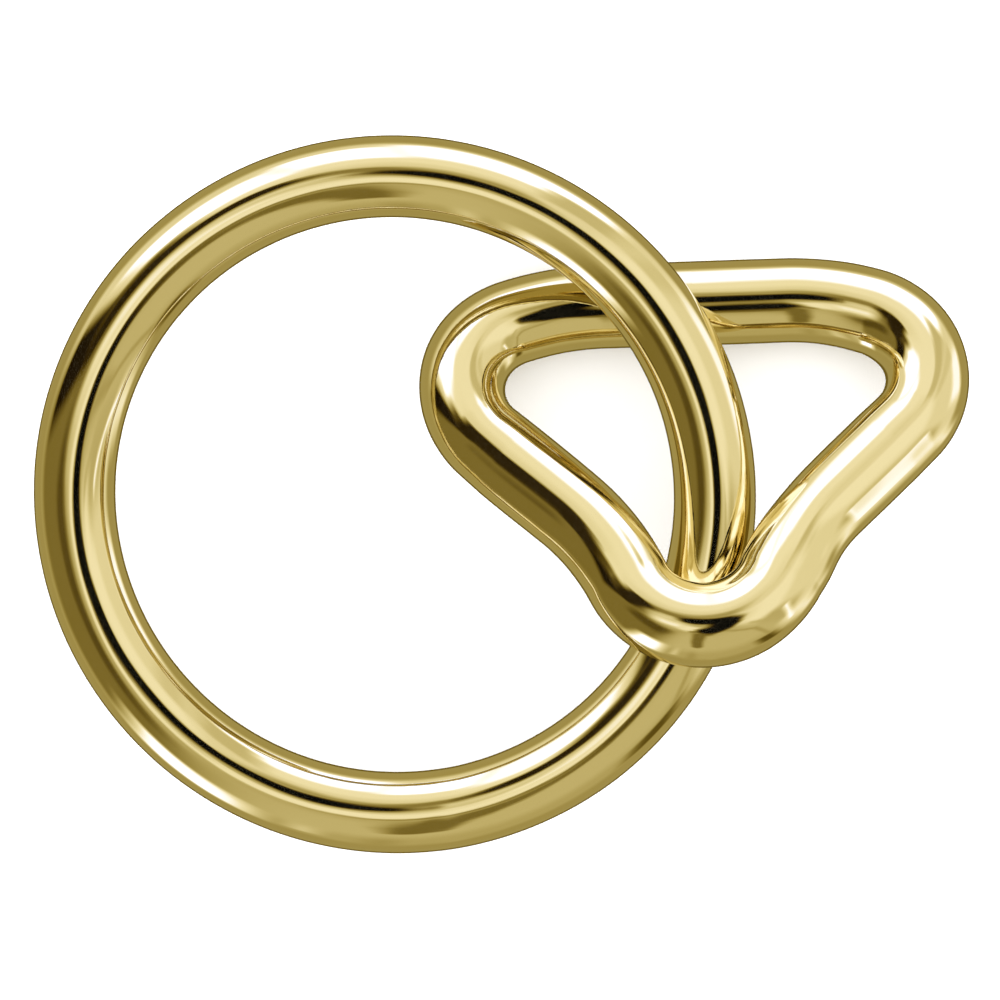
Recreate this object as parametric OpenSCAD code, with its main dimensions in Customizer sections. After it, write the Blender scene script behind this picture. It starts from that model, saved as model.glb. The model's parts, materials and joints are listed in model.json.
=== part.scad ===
// Two-piece ring puzzle: a plain round ring and a rounded-triangle loop, linked through each
// other and lying at rest. The ring leans over the loop's straight top bar and passes under the
// loop's tip. Both pieces are bent from solid round bar.
//
// Frame: millimetres, +Z up. The origin is on the resting surface, under the middle of the pair.
// +X runs from the ring towards the loop, and +Y towards the loop's top bar.

/* [Ring] */
// Outside diameter of the ring
ring_od = 53; // [52:0.5:54]
// Diameter of the ring's bar
ring_bar_d = 6; // [5:0.1:6]

/* [Loop] */
// Diameter of the loop's bar
loop_bar_d = 6.2; // [5:0.1:6.2]
// Length of the straight top bar
top_bar_l = 13.2; // [12.4:0.2:15]
// Centreline radius of the gentle shoulder at each end of the top bar
shoulder_r = 21; // [19:0.5:23]
// Turn of each shoulder, degrees
shoulder_turn = 18; // [16:1:20]
// Centreline radius of each corner lobe
lobe_r = 5.7; // [5.4:0.1:6.4]
// Turn of each corner lobe, degrees
lobe_turn = 118; // [116:1:120]
// Length of the straight part of each arm
arm_l = 8; // [7:0.5:9]
// Centreline radius of the inward bend in each arm
waist_r = 18.5; // [17:0.5:21]
// Turn of the inward bend, degrees
waist_turn = 22; // [20:1:24]

/* [Resting pose] */
// Tilt of the ring where it leans on the top bar, degrees
ring_tilt = 8.2; // [8.2:0.1:10]
// Direction of the ring's high side, anticlockwise from +X, degrees
ring_high_side = 65; // [60:1:70]
// Tilt of the loop, with its tip up on the ring, degrees
loop_tilt = 22.3; // [22.3:0.1:26]
// Turn of the loop about the vertical, degrees
loop_turn = 2; // [0:1:4]

/* [Hidden] */
$fn = 48;

// Plan position of the ring's centre, and of the middle of the top bar
ring_centre = [-7.85, 0];
top_bar_middle = [14, 14.1];

// Radius of the ring's centreline
ring_r = (ring_od - ring_bar_d) / 2;

// The ring's lowest point and the whole top bar touch the surface z = 0
ring_z = ring_bar_d / 2 + ring_r * sin(ring_tilt);
loop_z = loop_bar_d / 2;

// Every second stretch of the loop is drawn a hair slimmer and a little longer, so that its ends
// sit inside its neighbours and the union has no two faces in one plane
nest_l = 0.2;
nest_slack = 0.02;

// One side of the loop, from the end of the top bar to the start of the tip, flat in XY.
// Each stretch is [centreline radius, turn towards the inside], or [length, 0] where straight.
stretches = [
    [shoulder_r, shoulder_turn],
    [lobe_r, lobe_turn],
    [arm_l, 0],
    [waist_r, -waist_turn]
];

// Heading at the start of stretch i, clockwise from +X
function heading(i) = i == 0 ? 0 : heading(i - 1) + stretches[i - 1][1];

// How far a stretch runs in X and Y
function run(size, turn, head) =
    turn == 0 ? size * [cos(head), -sin(head)]
    : sign(turn) * size * [sin(head + turn) - sin(head), cos(head + turn) - cos(head)];

// Where stretch i starts
function start(i) =
    i == 0 ? [top_bar_l / 2, 0]
    : start(i - 1) + run(stretches[i - 1][0], stretches[i - 1][1], heading(i - 1));

// The tip is one arc that joins the two sides, so its radius follows from where they end
tip_start = start(len(stretches));
tip_heading = heading(len(stretches));
tip_r = tip_start[0] / sin(tip_heading);
tip_turn = 2 * (180 - tip_heading);

brass = [0.80, 0.66, 0.32];

function bar_d(nested) = loop_bar_d - (nested ? nest_slack : 0);

// Straight bar from the origin along +X
module straight(length, nested) {
    spare = nested ? nest_l : 0;
    translate([-spare, 0, 0]) rotate([90, 0, 90])
        cylinder(d = bar_d(nested), h = length + 2 * spare);
}

// Bent bar from the origin, starting along +X. A positive turn bends it towards -Y.
module bend(radius, turn, nested) {
    spare = nested ? nest_l / radius * 180 / PI : 0;
    swing = abs(turn) + 2 * spare;
    translate([0, -sign(turn) * radius, 0])
        rotate([0, 0, turn > 0 ? 90 + spare - swing : -90 - spare])
        rotate_extrude(angle = swing)
        translate([radius, 0]) circle(d = bar_d(nested));
}

module place(point, head) {
    translate([point[0], point[1], 0]) rotate([0, 0, -head]) children();
}

module loop_side() {
    for (i = [0 : len(stretches) - 1]) {
        size = stretches[i][0];
        turn = stretches[i][1];
        nested = i % 2 == 1;
        place(start(i), heading(i))
            if (turn == 0) straight(size, nested);
            else bend(size, turn, nested);
    }
}

module flat_loop() {
    place([-top_bar_l / 2, 0], 0) straight(top_bar_l, true);
    loop_side();
    mirror([1, 0, 0]) loop_side();
    place(tip_start, tip_heading) bend(tip_r, tip_turn, false);
}

module round_ring() {
    color(brass)
        translate([ring_centre[0], ring_centre[1], ring_z])
        rotate([0, 0, ring_high_side]) rotate([0, -ring_tilt, 0])
        rotate_extrude() translate([ring_r, 0]) circle(d = ring_bar_d);
}

module triangle_loop() {
    color(brass)
        translate([top_bar_middle[0], top_bar_middle[1], loop_z])
        rotate([0, 0, loop_turn]) rotate([-loop_tilt, 0, 0])
        flat_loop();
}

round_ring();
triangle_loop();
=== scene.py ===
import json
import math
from collections import namedtuple

import bmesh
import bpy
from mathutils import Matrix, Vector, noise


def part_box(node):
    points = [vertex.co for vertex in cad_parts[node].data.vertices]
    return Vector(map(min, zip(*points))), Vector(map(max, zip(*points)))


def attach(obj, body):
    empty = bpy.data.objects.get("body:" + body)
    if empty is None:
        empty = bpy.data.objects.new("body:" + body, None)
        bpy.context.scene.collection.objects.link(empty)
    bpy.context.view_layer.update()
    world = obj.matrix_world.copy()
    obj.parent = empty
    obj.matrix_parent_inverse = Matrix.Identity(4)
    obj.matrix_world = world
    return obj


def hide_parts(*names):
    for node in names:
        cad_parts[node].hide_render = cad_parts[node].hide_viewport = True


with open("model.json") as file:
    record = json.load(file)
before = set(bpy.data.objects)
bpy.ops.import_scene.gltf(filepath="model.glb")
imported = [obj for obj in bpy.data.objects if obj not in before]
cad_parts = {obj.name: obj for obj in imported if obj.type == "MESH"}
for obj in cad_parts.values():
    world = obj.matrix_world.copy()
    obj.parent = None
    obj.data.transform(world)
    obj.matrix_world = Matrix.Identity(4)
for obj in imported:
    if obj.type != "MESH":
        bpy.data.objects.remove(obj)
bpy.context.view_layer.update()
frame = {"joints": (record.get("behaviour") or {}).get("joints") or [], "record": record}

MM = 0.001

# ---------------------------------------------------------------- driving values
# The loop's outline, as the design has it: straights and arcs of the bar's centreline
LOOP_BAR_R = 3.1 * MM
TOP_BAR_HALF = 6.6 * MM
SHOULDER_R, SHOULDER_TURN = 21.0 * MM, 18.0
LOBE_R, LOBE_TURN = 5.7 * MM, 118.0
ARM_L = 8.0 * MM
WAIST_R, WAIST_TURN = 18.5 * MM, 22.0

# Mesh fineness: faces round each bar, stations round the ring, and the gap between the loop's stations
SIDES = 80
RING_STATIONS = 560
STATION_STEP = 0.2 * MM

# Hand-polished waviness: how far the surface strays, and over what length. The bent loop is wavier.
RING_WAVE, LOOP_WAVE, WAVE_LENGTH = 0.012 * MM, 0.030 * MM, 7.0 * MM
RIPPLE, RIPPLE_LENGTH = 0.003 * MM, 2.2 * MM

# Shallow lengthways streaks left by drawing the bar: their depth, how closely they lie round it, and
# their length
RING_STREAK, LOOP_STREAK = 0.003 * MM, 0.007 * MM
STREAK_CLOSENESS, STREAK_LENGTH = 2.6, 9.0 * MM

# Where each piece's noise starts, so that the two bars don't show the same marks
RING_SEED = Vector((3.1, 1.7, 5.3))
LOOP_SEED = Vector((8.4, 2.9, 0.6))

# Hand bending left the loop a little uneven: mm along the bar from the middle of the top bar, side of
# the bar (0 outside the bend, 180 inside), height in mm and reach in mm
BENDING_MARKS = [
    (15.0, 180, 0.24, 3.8),
    (35.0, 180, -0.12, 2.5),
    (38.5, 0, 0.32, 2.5),
    (63.0, 180, 0.12, 6.0),
    (66.0, 0, 0.12, 4.0),
    (76.5, 0, 0.25, 4.2),
]

# Bending changes the bar's width in the plane of the loop a little: narrower at the lobes, wider at
# the arms. The change fades in over this many stations each way.
LOBE_FLATTEN = 0.985
ARM_SWELL = 1.012
FADE_STATIONS = 9

# The ring's closing joint, filed flush: a shallow slanted dip across the bar
JOINT_ANGLE = -81.0
JOINT_SLANT = 0.5
JOINT_REACH = 1.0 * MM
JOINT_DEPTH = 0.010 * MM

# Camera: straight above, with a long lens. The view is this wide at the height of its centre.
CAMERA_HEIGHT = 1.0
VIEW_CENTRE = Vector((-0.00011, -0.00034, 0.006))
VIEW_WIDTH = 0.07325
SENSOR_MM = 36.0

# Floor: half its side, its colour and its roughness
FLOOR_HALF = 3.0
FLOOR_COLOUR = (0.9, 0.9, 0.9, 1.0)
FLOOR_ROUGHNESS = 0.9

# Brass: its colour drifts slowly between two tones
BRASS_DEEP = (0.88, 0.77, 0.43, 1.0)
BRASS_PALE = (0.92, 0.81, 0.50, 1.0)
DRIFT_SCALE, DRIFT_DETAIL = 90.0, 3.0
# Fine drawing lines, long along the bar and narrow across it, and scuffs
LINE_STRETCH, LINE_DETAIL = (110, 3600, 1), 4.0
SCUFF_SCALE, SCUFF_DETAIL = 420.0, 5.0
BASE_ROUGHNESS, LINE_ROUGHNESS, SCUFF_ROUGHNESS = 0.018, 0.04, 0.03
LINE_BUMP, LINE_BUMP_HEIGHT = 0.015, 0.2 * MM
# Where the material's noise starts on each piece, and how far it moves in Y for each step in X
RING_START, LOOP_START = 1.3, 4.6
START_SLOPE = 0.7


# ---------------------------------------------------------------- places from the frame
def mount(name):
    """Place and direction of one of the record's mounts."""
    for m in frame["record"]["mounts"]:
        if m["name"] == name:
            return Vector(m["pos_m"]), Vector(m["axis"]).normalized()
    raise KeyError(name)


def ring_size():
    """Centreline radius and bar radius of the ring, from its box and its tilt."""
    low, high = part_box("round_ring")
    size = Vector(high) - Vector(low)
    normal = mount("ring_eye")[1]
    lean_x = math.sqrt(1 - normal.x ** 2)
    lean_z = math.sqrt(1 - normal.z ** 2)
    radius = (size.x - size.z) / (2 * (lean_x - lean_z))
    return radius, size.z / 2 - radius * lean_z


def tip_joint():
    """The hinge that the loop turns on. Its axis is the middle of the loop's top bar."""
    return next(j for j in frame["joints"] if j["name"] == "loop_tip_up")


# ---------------------------------------------------------------- shapes
# One cross-section of a bar: its centre, the two directions across it and the half-thickness in each
Station = namedtuple("Station", "centre outward up half_width half_height")
# How a bar's surface departs from the true one. relief(along, turn) is the height in metres of any
# single mark, with along in metres and turn round the bar in radians.
Finish = namedtuple("Finish", "seed wave streak relief")


def arc_or_line(start, heading, size, turn):
    """Points along one stretch with their headings. turn is in degrees: 0 makes a straight of length
    size, and anything else an arc of radius size."""
    length = size if turn == 0 else size * math.radians(abs(turn))
    steps = max(2, round(length / STATION_STEP))
    out = []
    for k in range(1, steps + 1):
        part = k / steps
        if turn == 0:
            step = Vector((math.cos(heading), math.sin(heading))) * size * part
            out.append((start + step, heading))
            continue
        side = math.copysign(1, turn)
        now = heading + math.radians(turn) * part
        step = Vector((math.sin(now) - math.sin(heading), math.cos(heading) - math.cos(now)))
        out.append((start + step * size * side, now))
    return out


def loop_half():
    """Half of the loop, flat: (point, heading, kind of stretch) from the top bar's middle to the tip's.
    X runs along the top bar and Y towards the tip."""
    stretches = [
        ("bar", TOP_BAR_HALF, 0),
        ("shoulder", SHOULDER_R, SHOULDER_TURN),
        ("lobe", LOBE_R, LOBE_TURN),
        ("arm", ARM_L, 0),
        ("waist", WAIST_R, -WAIST_TURN),
    ]
    point, heading = Vector((0, 0)), 0.0
    path = [(point, heading, "bar")]
    for kind, size, turn in stretches:
        run = arc_or_line(point, heading, size, turn)
        path += [(p, h, kind) for p, h in run]
        point, heading = run[-1]
    tip_radius = point.x / math.sin(heading)
    run = arc_or_line(point, heading, tip_radius, 180 - math.degrees(heading))
    return path + [(p, h, "tip") for p, h in run]


def smooth(values, reach):
    """Running mean round a closed list."""
    n = len(values)
    return [sum(values[(i + k) % n] for k in range(-reach, reach + 1)) / (2 * reach + 1) for i in range(n)]


def loop_stations():
    """Stations once round the loop, from the middle of its top bar."""
    joint = tip_joint()
    middle = Vector(joint["pos_m"])
    along = -Vector(joint["axis"]).normalized()
    normal = mount("loop_eye")[1]
    down = along.cross(normal).normalized()
    half = loop_half()
    flat = [(p.x, p.y, h, kind) for p, h, kind in half]
    flat += [(-p.x, p.y, 2 * math.pi - h, kind) for p, h, kind in reversed(half[1:-1])]
    squeeze = {"lobe": LOBE_FLATTEN, "arm": ARM_SWELL, "waist": ARM_SWELL}
    widths = smooth([squeeze.get(kind, 1.0) for _, _, _, kind in flat], FADE_STATIONS)
    stations = []
    for (x, y, heading, _), width in zip(flat, widths):
        centre = middle + along * x + down * y
        outward = along * math.sin(heading) - down * math.cos(heading)
        stations.append(Station(centre, outward, normal, LOOP_BAR_R * width, LOOP_BAR_R * (2 - width)))
    return stations


def ring_stations():
    """Stations once round the ring, from its +X side."""
    centre, normal = mount("ring_eye")
    radius, bar_radius = ring_size()
    first = (Vector((1, 0, 0)) - normal * normal.x).normalized()
    second = normal.cross(first)
    angles = [2 * math.pi * k / RING_STATIONS for k in range(RING_STATIONS)]
    stations = []
    for a in angles:
        outward = first * math.cos(a) + second * math.sin(a)
        stations.append(Station(centre + outward * radius, outward, normal, bar_radius, bar_radius))
    return stations


def polish_wave(point, finish):
    """Height of the hand-polished waves at a point of the surface, in metres."""
    wave = finish.wave * noise.noise(point / WAVE_LENGTH + finish.seed)
    return wave + RIPPLE * noise.noise(point / RIPPLE_LENGTH - finish.seed)


def streak(centre, turn, finish):
    """Height of the lengthways streaks, which change fast round the bar and slowly along it."""
    round_bar = Vector((math.cos(turn), math.sin(turn), 0)) * STREAK_CLOSENESS
    return finish.streak * noise.noise(round_bar + centre / STREAK_LENGTH + finish.seed)


def bending_mark(along, turn):
    """Height of the loop's hand-bending marks at one place of its surface, in metres."""
    height = 0.0
    for place, side, top, reach in BENDING_MARKS:
        facing = (1 + math.cos(turn - math.radians(side))) / 2
        height += top * facing ** 2 * math.exp(-(((along / MM - place) / reach) ** 2))
    return height * MM


def closing_joint():
    """The ring's closing joint, as a function that gives its height at one place of the surface."""
    radius, bar_radius = ring_size()
    middle = radius * math.radians(JOINT_ANGLE % 360)

    def height(along, turn):
        off = along - middle + JOINT_SLANT * bar_radius * math.cos(turn)
        return -JOINT_DEPTH * math.exp(-((off / JOINT_REACH) ** 2))

    return height


def distances(stations):
    """Distance of each station from the first along the bar, and the whole way round at the end."""
    out = [0.0]
    for i, station in enumerate(stations):
        step = stations[(i + 1) % len(stations)].centre - station.centre
        out.append(out[-1] + step.length)
    return out


def surface_row(station, along, finish):
    """Points round the bar at one station."""
    row = []
    for k in range(SIDES):
        turn = 2 * math.pi * k / SIDES
        across = station.outward * math.cos(turn) * station.half_width
        out = across + station.up * math.sin(turn) * station.half_height
        point = station.centre + out
        height = polish_wave(point, finish) + streak(station.centre, turn, finish)
        height += finish.relief(along, turn)
        row.append(point + out.normalized() * height)
    return row


def skin(mesh_data, rows, along, round_bar):
    """Faces between the rows, with a UV map in metres: along the bar and round it."""
    uv = mesh_data.loops.layers.uv.new("bar")
    for i, row in enumerate(rows):
        after = rows[(i + 1) % len(rows)]
        for k in range(SIDES):
            beside = (k + 1) % SIDES
            face = mesh_data.faces.new((row[k], after[k], after[beside], row[beside]))
            face.smooth = True
            corners = ((i, k), (i + 1, k), (i + 1, k + 1), (i, k + 1))
            for corner, (a, b) in zip(face.loops, corners):
                corner[uv].uv = (along[a], b / SIDES * round_bar)


def sweep(name, stations, finish):
    """A closed bar swept through the stations, as one watertight mesh."""
    mesh_data = bmesh.new()
    along = distances(stations)
    rows = []
    for station, place in zip(stations, along):
        rows.append([mesh_data.verts.new(p) for p in surface_row(station, place, finish)])
    skin(mesh_data, rows, along, 2 * math.pi * stations[0].half_width)
    bmesh.ops.recalc_face_normals(mesh_data, faces=mesh_data.faces)
    mesh = bpy.data.meshes.new(name)
    mesh_data.to_mesh(mesh)
    mesh_data.free()
    piece = bpy.data.objects.new(name, mesh)
    bpy.context.scene.collection.objects.link(piece)
    return piece


# ---------------------------------------------------------------- node helpers
class Nodes:
    """Short names for making and joining shader nodes."""

    # Where a mix node keeps its two inputs and its result, for plain numbers and for colours
    FLOAT_SOCKETS = 2, 3, 0
    COLOUR_SOCKETS = 6, 7, 2

    def __init__(self, tree):
        self.tree = tree
        tree.nodes.clear()

    def add(self, kind, **settings):
        node = self.tree.nodes.new(kind)
        for key, value in settings.items():
            setattr(node, key, value)
        return node

    def link(self, source, target):
        self.tree.links.new(source, target)

    def fill(self, socket, value):
        if isinstance(value, bpy.types.NodeSocket):
            self.link(value, socket)
        else:
            socket.default_value = value

    def math(self, operation, *values):
        node = self.add("ShaderNodeMath", operation=operation)
        for socket, value in zip(node.inputs, values):
            self.fill(socket, value)
        return node.outputs[0]

    def vector(self, operation, *values):
        node = self.add("ShaderNodeVectorMath", operation=operation)
        for socket, value in zip(node.inputs, values):
            self.fill(socket, value)
        return node.outputs["Value" if operation in ("DOT_PRODUCT", "LENGTH") else "Vector"]

    def ramp_down(self, value, start, end):
        """1 below start, 0 above end, smooth between."""
        node = self.add("ShaderNodeMapRange", interpolation_type="SMOOTHSTEP")
        self.fill(node.inputs["Value"], value)
        node.inputs["From Min"].default_value = start
        node.inputs["From Max"].default_value = end
        node.inputs["To Min"].default_value = 1.0
        node.inputs["To Max"].default_value = 0.0
        return node.outputs[0]

    def mix(self, factor, a, b, data_type="FLOAT"):
        """a where factor is 0, b where it is 1."""
        node = self.add("ShaderNodeMix", data_type=data_type)
        first, second, result = self.FLOAT_SOCKETS if data_type == "FLOAT" else self.COLOUR_SOCKETS
        self.fill(node.inputs["Factor"], factor)
        self.fill(node.inputs[first], a)
        self.fill(node.inputs[second], b)
        return node.outputs[result]


# ---------------------------------------------------------------- studio
# What the polished metal mirrors. Each row is one soft-edged light, flag or stand, painted over
# the ones before it. Angles are in degrees: azimuth runs from +X towards +Y, polar from straight up.
# A "wall" is upright: its half width is in azimuth, its half height in polar angle, and it leans by
# so many degrees of polar angle for each degree of azimuth. A "panel" hangs overhead: it is a
# rectangle on the flat map of the sky (polar angle outwards from the middle), turned by an angle.
# name, kind, azimuth, polar, half width, half height, edge softness, lean or turn, level
STUDIO_BASE = 0.5
STUDIO = [
    ("bright wall", "wall", 65, 58, 102, 48, 22, 0.0, 0.86),
    ("dark left side", "wall", 200, 68, 37, 33, 22, 0.0, 0.22),
    ("its dark top", "panel", 210, 41, 15, 9, 12, 130, 0.10),
    ("below the table edge", "wall", 0, 150, 200, 43, 16, 0.0, 0.40),
    ("shaded table top", "wall", 0, 180, 200, 30, 10, 0.0, 0.16),
    ("glow under the softboxes", "wall", 108, 50, 44, 12, 12, 0.0, 0.98),
    ("left softbox", "wall", 134, 66, 16, 17, 11, 0.0, 1.45),
    ("middle softbox", "wall", 105, 72, 11, 18, 9, 0.0, 1.45),
    ("right softbox", "wall", 71, 78, 22, 20, 11, 0.0, 1.45),
    ("side light", "wall", 17, 95, 15, 13, 14, 0.0, 1.2),
    ("gap beside it", "wall", 36, 60, 5, 25, 8, -0.3, 0.74),
    ("second gap", "wall", 54, 58, 9, 18, 10, -0.4, 0.64),
    ("bright ceiling", "wall", 10, 34, 33, 12, 14, 0.0, 1.0),
    ("black flag", "wall", 168, 65, 9, 26, 8, 0.25, 0.01),
    ("low fill light", "wall", 234, 91, 10, 19, 12, -0.1, 1.4),
    ("dark stool", "wall", 311, 97, 6, 11, 9, 0.4, 0.12),
    ("stand", "wall", 264, 84, 2.5, 28, 6, -0.6, 0.42),
    ("thin stand", "wall", 276, 80, 2, 28, 5, 0.0, 0.5),
    ("lit stand", "wall", 253, 78, 2, 22, 5, -0.4, 0.75),
    ("far stand", "wall", 331, 55, 3, 24, 6, -0.3, 0.6),
    ("shade beside the boom", "panel", 109, 21, 18, 6, 10, 8, 0.42),
    ("flag's upper arm", "panel", 161, 40, 14, 10, 14, -45, 0.09),
    ("camera", "panel", 330, 10, 9, 5, 8, 90, 0.05),
    ("ceiling lamp", "panel", 196, 18, 9, 7, 12, -20, 1.08),
    ("small ceiling lamp", "panel", 238, 14, 7, 5, 7, 60, 1.0),
    ("dull side wall", "wall", 334, 60, 13, 18, 16, 0.0, 0.55),
    ("pale door", "wall", 335, 104, 8, 18, 16, 0.4, 1.05),
    ("plain front", "wall", 284, 52, 42, 26, 26, 0.0, 0.60),
]
# Booms and cables overhead: the points they run through on the flat map of the sky, half width,
# edge softness and level
LINES = [
    ("far cable", [(8, -17), (20, -24), (37, -32), (60, -60)], 2.0, 4.0, 0.45),
    ("near cable", [(7, -17), (3, -25), (-2, -27), (-4, -46), (-4, -60)], 4.5, 5.0, 0.20),
    ("strap", [(-6, -20), (0, -19), (6, -18)], 2.5, 4.0, 0.30),
    ("boom", [(4, 9), (-3, 15), (-10, 19), (-20, 20)], 4.5, 6.0, 0.28),
    ("boom's end", [(-23, 19), (-30, 14), (-41, 8)], 7.0, 6.0, 0.02),
    ("thin lamp", [(58, -17), (68, -30), (82, -50)], 2.0, 7.0, 1.3),
    ("camera arm", [(4, -16), (9, -11), (11, -4), (10, 3), (5, 8), (-2, 9)], 8.0, 6.0, 0.0),
]
# How the light's colour follows its level: warm and deeper as it dims, white where it burns out
WARMTH = (0.967, 0.937, 0.84)
DIM_POWER = (1.0, 1.15, 2.0)
BURN_GAIN = (1.0, 1.5, 4.4)
BACKDROP = (1.0, 1.0, 1.0, 1.0)
FILL_STRENGTH = 2.7
# Keeps a division safe straight overhead
ALMOST_ZERO = 0.0001


def soft_box(n, across, down, half_w, half_h, soft):
    """1 inside the box, 0 outside, with soft edges."""
    in_across = n.ramp_down(n.math("ABSOLUTE", across), half_w - soft / 2, half_w + soft / 2)
    in_down = n.ramp_down(n.math("ABSOLUTE", down), half_h - soft / 2, half_h + soft / 2)
    return n.math("MULTIPLY", in_across, in_down)


def wall_mask(n, azimuth, polar, row):
    """1 on a wall of the studio, 0 off it."""
    az, down, half_w, half_h, soft, lean = row
    across = n.math("WRAP", n.math("SUBTRACT", azimuth, float(az)), 180.0, -180.0)
    drop = n.math("SUBTRACT", polar, float(down))
    drop = n.math("SUBTRACT", drop, n.math("MULTIPLY", across, float(lean)))
    return soft_box(n, across, drop, half_w, half_h, soft)


def panel_mask(n, sky, row):
    """1 on an overhead panel of the studio, 0 off it."""
    az, down, half_w, half_h, soft, turn = row
    middle = (down * math.cos(math.radians(az)), down * math.sin(math.radians(az)), 0)
    right = (math.cos(math.radians(turn)), math.sin(math.radians(turn)), 0)
    up = (-right[1], right[0], 0)
    offset = n.vector("SUBTRACT", sky, middle)
    across = n.vector("DOT_PRODUCT", offset, right)
    along = n.vector("DOT_PRODUCT", offset, up)
    return soft_box(n, across, along, half_w, half_h, soft)


def line_distance(n, sky, points):
    """Distance on the flat map of the sky from a line of straight runs."""
    nearest = None
    for (ax, ay), (bx, by) in zip(points, points[1:]):
        run = Vector((bx - ax, by - ay, 0))
        offset = n.vector("SUBTRACT", sky, (ax, ay, 0))
        share = n.math("MULTIPLY", n.vector("DOT_PRODUCT", offset, tuple(run)), 1 / run.length_squared)
        share.node.use_clamp = True
        foot = n.add("ShaderNodeVectorMath", operation="SCALE")
        foot.inputs[0].default_value = run
        n.link(share, foot.inputs["Scale"])
        away = n.vector("LENGTH", n.vector("SUBTRACT", offset, foot.outputs[0]))
        nearest = away if nearest is None else n.math("MINIMUM", nearest, away)
    return nearest


def studio_level(n):
    """How bright the studio is in the direction that a ray leaves."""
    direction = n.add("ShaderNodeSeparateXYZ")
    n.link(n.add("ShaderNodeTexCoord").outputs["Generated"], direction.inputs[0])
    x, y, z = direction.outputs
    level_part = n.math("SQRT", n.math("ADD", n.math("MULTIPLY", x, x), n.math("MULTIPLY", y, y)))
    azimuth = n.math("DEGREES", n.math("ARCTAN2", y, x))
    polar = n.math("DEGREES", n.math("ARCTAN2", level_part, z))
    stretch = n.math("DIVIDE", polar, n.math("MAXIMUM", level_part, ALMOST_ZERO))
    sky_map = n.add("ShaderNodeCombineXYZ")
    n.link(n.math("MULTIPLY", x, stretch), sky_map.inputs[0])
    n.link(n.math("MULTIPLY", y, stretch), sky_map.inputs[1])
    sky = sky_map.outputs[0]
    level = STUDIO_BASE
    for _, kind, *row, value in STUDIO:
        mask = wall_mask(n, azimuth, polar, row) if kind == "wall" else panel_mask(n, sky, row)
        level = n.mix(mask, level, value)
    for _, points, half_w, soft, value in LINES:
        away = line_distance(n, sky, points)
        level = n.mix(n.ramp_down(away, half_w - soft / 2, half_w + soft / 2), level, value)
    return level


def make_studio():
    world = bpy.data.worlds.new("studio")
    world.use_nodes = True
    bpy.context.scene.world = world
    n = Nodes(world.node_tree)
    level = studio_level(n)
    dim = n.math("MINIMUM", level, 1.0)
    burn = n.math("MAXIMUM", n.math("SUBTRACT", level, 1.0), 0.0)
    tone = n.add("ShaderNodeCombineColor")
    for channel, warmth, power, gain in zip(tone.inputs, WARMTH, DIM_POWER, BURN_GAIN):
        tint = n.math("MULTIPLY", n.math("POWER", dim, power), warmth)
        n.fill(channel, n.math("MULTIPLY_ADD", burn, gain, tint))
    rays = n.add("ShaderNodeLightPath")
    seen, mirrored, fill = (n.add("ShaderNodeBackground") for _ in range(3))
    n.link(tone.outputs[0], mirrored.inputs["Color"])
    seen.inputs["Color"].default_value = BACKDROP
    fill.inputs["Strength"].default_value = FILL_STRENGTH
    fill.inputs["Color"].default_value = BACKDROP
    lit = n.add("ShaderNodeMixShader")
    n.link(rays.outputs["Is Glossy Ray"], lit.inputs[0])
    n.link(fill.outputs[0], lit.inputs[1])
    n.link(mirrored.outputs[0], lit.inputs[2])
    out = n.add("ShaderNodeMixShader")
    n.link(rays.outputs["Is Camera Ray"], out.inputs[0])
    n.link(lit.outputs[0], out.inputs[1])
    n.link(seen.outputs[0], out.inputs[2])
    n.link(out.outputs[0], n.add("ShaderNodeOutputWorld").inputs["Surface"])


def make_floor():
    mesh = bpy.data.meshes.new("floor")
    signs = [(-1, -1), (1, -1), (1, 1), (-1, 1)]
    corners = [(x * FLOOR_HALF, y * FLOOR_HALF, 0) for x, y in signs]
    mesh.from_pydata(corners, [], [(0, 1, 2, 3)])
    floor = bpy.data.objects.new("floor", mesh)
    bpy.context.scene.collection.objects.link(floor)
    material = bpy.data.materials.new("pale_floor")
    material.use_nodes = True
    shader = material.node_tree.nodes["Principled BSDF"]
    shader.inputs["Base Color"].default_value = FLOOR_COLOUR
    shader.inputs["Roughness"].default_value = FLOOR_ROUGHNESS
    shader.inputs["Specular IOR Level"].default_value = 0.0
    mesh.materials.append(material)
    floor.visible_glossy = False


def make_camera():
    data = bpy.data.cameras.new("camera")
    data.sensor_width = SENSOR_MM
    data.lens = SENSOR_MM * (CAMERA_HEIGHT - VIEW_CENTRE.z) / VIEW_WIDTH
    camera = bpy.data.objects.new("camera", data)
    camera.location = (VIEW_CENTRE.x, VIEW_CENTRE.y, CAMERA_HEIGHT)
    bpy.context.scene.collection.objects.link(camera)
    bpy.context.scene.camera = camera


# ---------------------------------------------------------------- material
def cloud(n, source, start, scale, detail, stretch=(1, 1, 1)):
    """Noise over a source of coordinates. start moves the pattern."""
    place = n.add("ShaderNodeMapping")
    place.inputs["Location"].default_value = (start, start * START_SLOPE, 0)
    place.inputs["Scale"].default_value = stretch
    n.link(source, place.inputs["Vector"])
    texture = n.add("ShaderNodeTexNoise")
    texture.inputs["Scale"].default_value = scale
    texture.inputs["Detail"].default_value = detail
    n.link(place.outputs[0], texture.inputs["Vector"])
    return texture.outputs[0]


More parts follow.
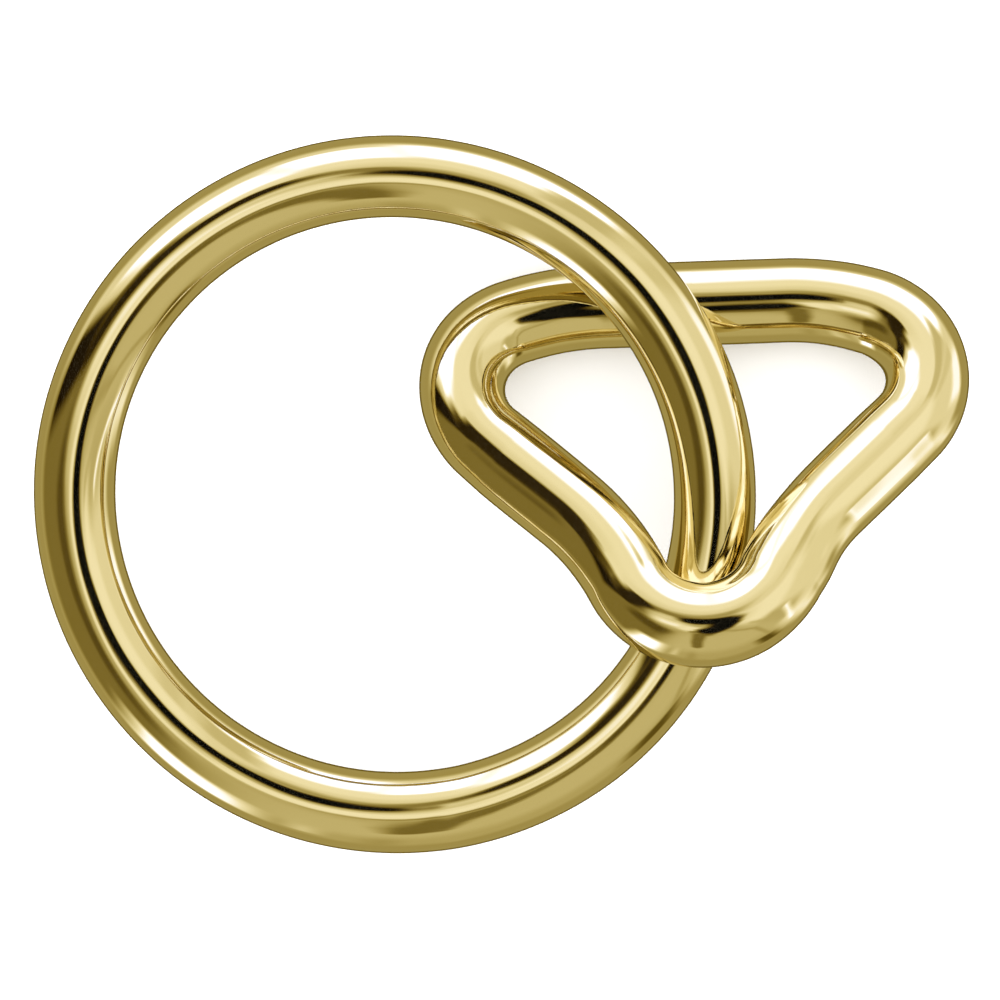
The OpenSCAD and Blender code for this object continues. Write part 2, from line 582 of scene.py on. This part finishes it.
def polished_brass(name, start):
    """Mirror-polished brass: fine drawing lines along the bar, faint scuffs and a slight colour drift."""
    material = bpy.data.materials.new(name)
    material.use_nodes = True
    n = Nodes(material.node_tree)
    solid = n.add("ShaderNodeTexCoord").outputs["Object"]
    bar = n.add("ShaderNodeUVMap", uv_map="bar").outputs[0]
    drift = cloud(n, solid, start, DRIFT_SCALE, DRIFT_DETAIL)
    lines = cloud(n, bar, start, 1.0, LINE_DETAIL, LINE_STRETCH)
    scuffs = cloud(n, solid, start, SCUFF_SCALE, SCUFF_DETAIL)
    colour = n.mix(drift, BRASS_DEEP, BRASS_PALE, "RGBA")
    rough = n.math("MULTIPLY_ADD", lines, LINE_ROUGHNESS, BASE_ROUGHNESS)
    rough = n.math("MULTIPLY_ADD", scuffs, SCUFF_ROUGHNESS, rough)
    bump = n.add("ShaderNodeBump")
    bump.inputs["Strength"].default_value = LINE_BUMP
    bump.inputs["Distance"].default_value = LINE_BUMP_HEIGHT
    n.link(lines, bump.inputs["Height"])
    shader = n.add("ShaderNodeBsdfPrincipled")
    shader.inputs["Metallic"].default_value = 1.0
    n.link(colour, shader.inputs["Base Color"])
    n.link(rough, shader.inputs["Roughness"])
    n.link(bump.outputs[0], shader.inputs["Normal"])
    n.link(shader.outputs[0], n.add("ShaderNodeOutputMaterial").inputs["Surface"])
    return material


# ---------------------------------------------------------------- the two pieces
def make_ring():
    finish = Finish(RING_SEED, RING_WAVE, RING_STREAK, closing_joint())
    piece = sweep("ring_bar", ring_stations(), finish)
    piece.data.materials.append(polished_brass("ring_brass", RING_START))
    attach(piece, "ring")
    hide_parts("round_ring")


def make_loop():
    finish = Finish(LOOP_SEED, LOOP_WAVE, LOOP_STREAK, bending_mark)
    piece = sweep("loop_bar", loop_stations(), finish)
    piece.data.materials.append(polished_brass("loop_brass", LOOP_START))
    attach(piece, "loop")
    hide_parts("triangle_loop")


bpy.context.scene.view_settings.view_transform = "Standard"
make_camera()
make_studio()
make_floor()
make_ring()
make_loop()
